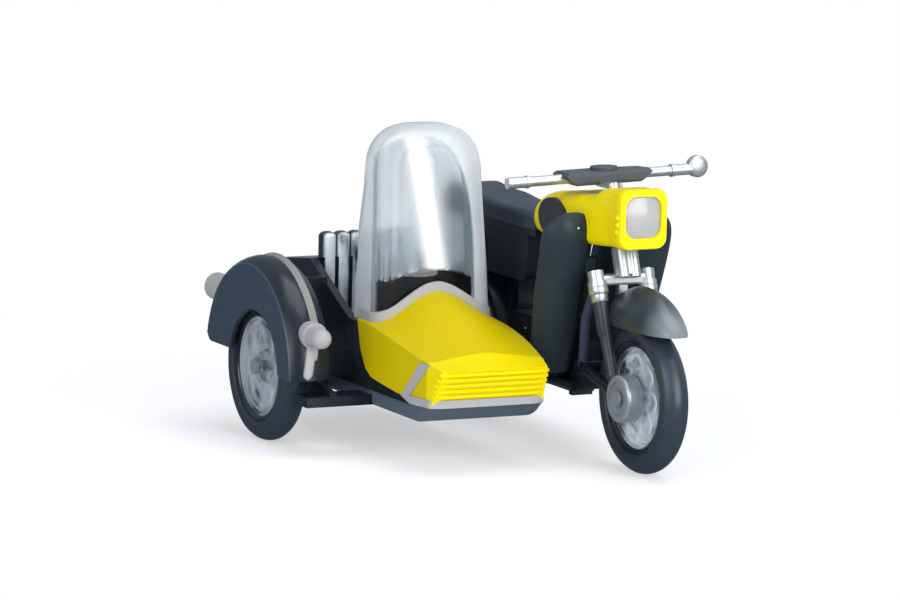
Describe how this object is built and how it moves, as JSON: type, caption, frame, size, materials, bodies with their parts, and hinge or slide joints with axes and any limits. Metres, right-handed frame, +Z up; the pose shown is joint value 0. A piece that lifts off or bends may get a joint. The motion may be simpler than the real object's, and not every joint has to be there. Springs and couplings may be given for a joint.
{
  "type": "miniature sidecar motorcycle",
  "caption": "Moulded plastic miniature of a motorcycle with a sidecar and tall clear windshield; wheels roll and the fork turns.",
  "frame": {"origin": "middle of the whole footprint, on the floor under the three wheels", "axes": "+X forward, +Y to the rider's left, +Z up"},
  "size_m": [0.023, 0.0182, 0.0144],
  "materials": {
    "tyre_black": "moulded black plastic, soft gloss",
    "clear_wheel": "clear grey moulded plastic",
    "clear_screen": "clear moulded plastic",
    "yellow": "self-coloured glossy yellow plastic",
    "silver": "silver-coloured plastic",
    "grey_print": "grey printed or painted plastic",
    "slate": "dark blue-grey moulded plastic",
    "black": "glossy blue-black moulded plastic"
  },
  "bodies": {
    "chassis": {"carburettor": "black", "crankcase": "black", "cylinder": "black", "exhaust": "silver", "fender_stripe": "grey_print", "frame": "black", "headlamp_lens": "grey_print", "knee_pads": "slate", "leg_shields": "black", "position_lamp": "grey_print", "rear_axle": "black", "rear_mudguard": "black", "rear_shocks": "black", "rear_swing_arm": "black", "rear_tail_lamp": "grey_print", "seat": "slate", "seat_pan": "black", "side_covers": "black", "sidecar_axle": "black", "sidecar_bars": "black", "sidecar_cushion": "slate", "sidecar_dash": "black", "sidecar_fender": "black", "sidecar_hood": "yellow", "sidecar_nose_trim": "grey_print", "sidecar_pan": "black", "sidecar_seat_back": "black", "sidecar_tail_lamp": "grey_print", "sidecar_tub": "black", "stand_and_rests": "black", "tank_housing": "yellow", "windshield": "clear_screen", "windshield_strip": "grey_print"},
    "steering": {"fork_legs": "black", "front_axle": "black", "front_brake_plate": "silver", "front_mudguard": "black", "front_shocks": "black", "front_swing_arm": "black", "handlebar": "silver", "handlebar_cover": "slate", "mirror": "silver", "steering_column": "silver"},
    "front_wheel_set": {"front_tyre": "tyre_black", "front_wheel": "clear_wheel"},
    "rear_wheel_set": {"rear_tyre": "tyre_black", "rear_wheel": "clear_wheel"},
    "sidecar_wheel_set": {"sidecar_tyre": "tyre_black", "sidecar_wheel": "clear_wheel"}
  },
  "joints": [
    {"name": "steering_turn", "type": "hinge", "parent": "chassis", "child": "steering", "pos_m": [0.00615, 0.00385, 0.0089], "axis": [-0.342, 0, 0.9397], "range_deg": [-20, 20]},
    {"name": "front_wheel_spin", "type": "hinge", "parent": "steering", "child": "front_wheel_set", "pos_m": [0.00821, 0.00385, 0.00329], "axis": [0, 1, 0], "continuous": true},
    {"name": "rear_wheel_spin", "type": "hinge", "parent": "chassis", "child": "rear_wheel_set", "pos_m": [-0.0072, 0.00385, 0.00329], "axis": [0, 1, 0], "continuous": true},
    {"name": "sidecar_wheel_spin", "type": "hinge", "parent": "chassis", "child": "sidecar_wheel_set", "pos_m": [-0.00449, -0.00815, 0.00329], "axis": [0, 1, 0], "continuous": true}
  ]
}
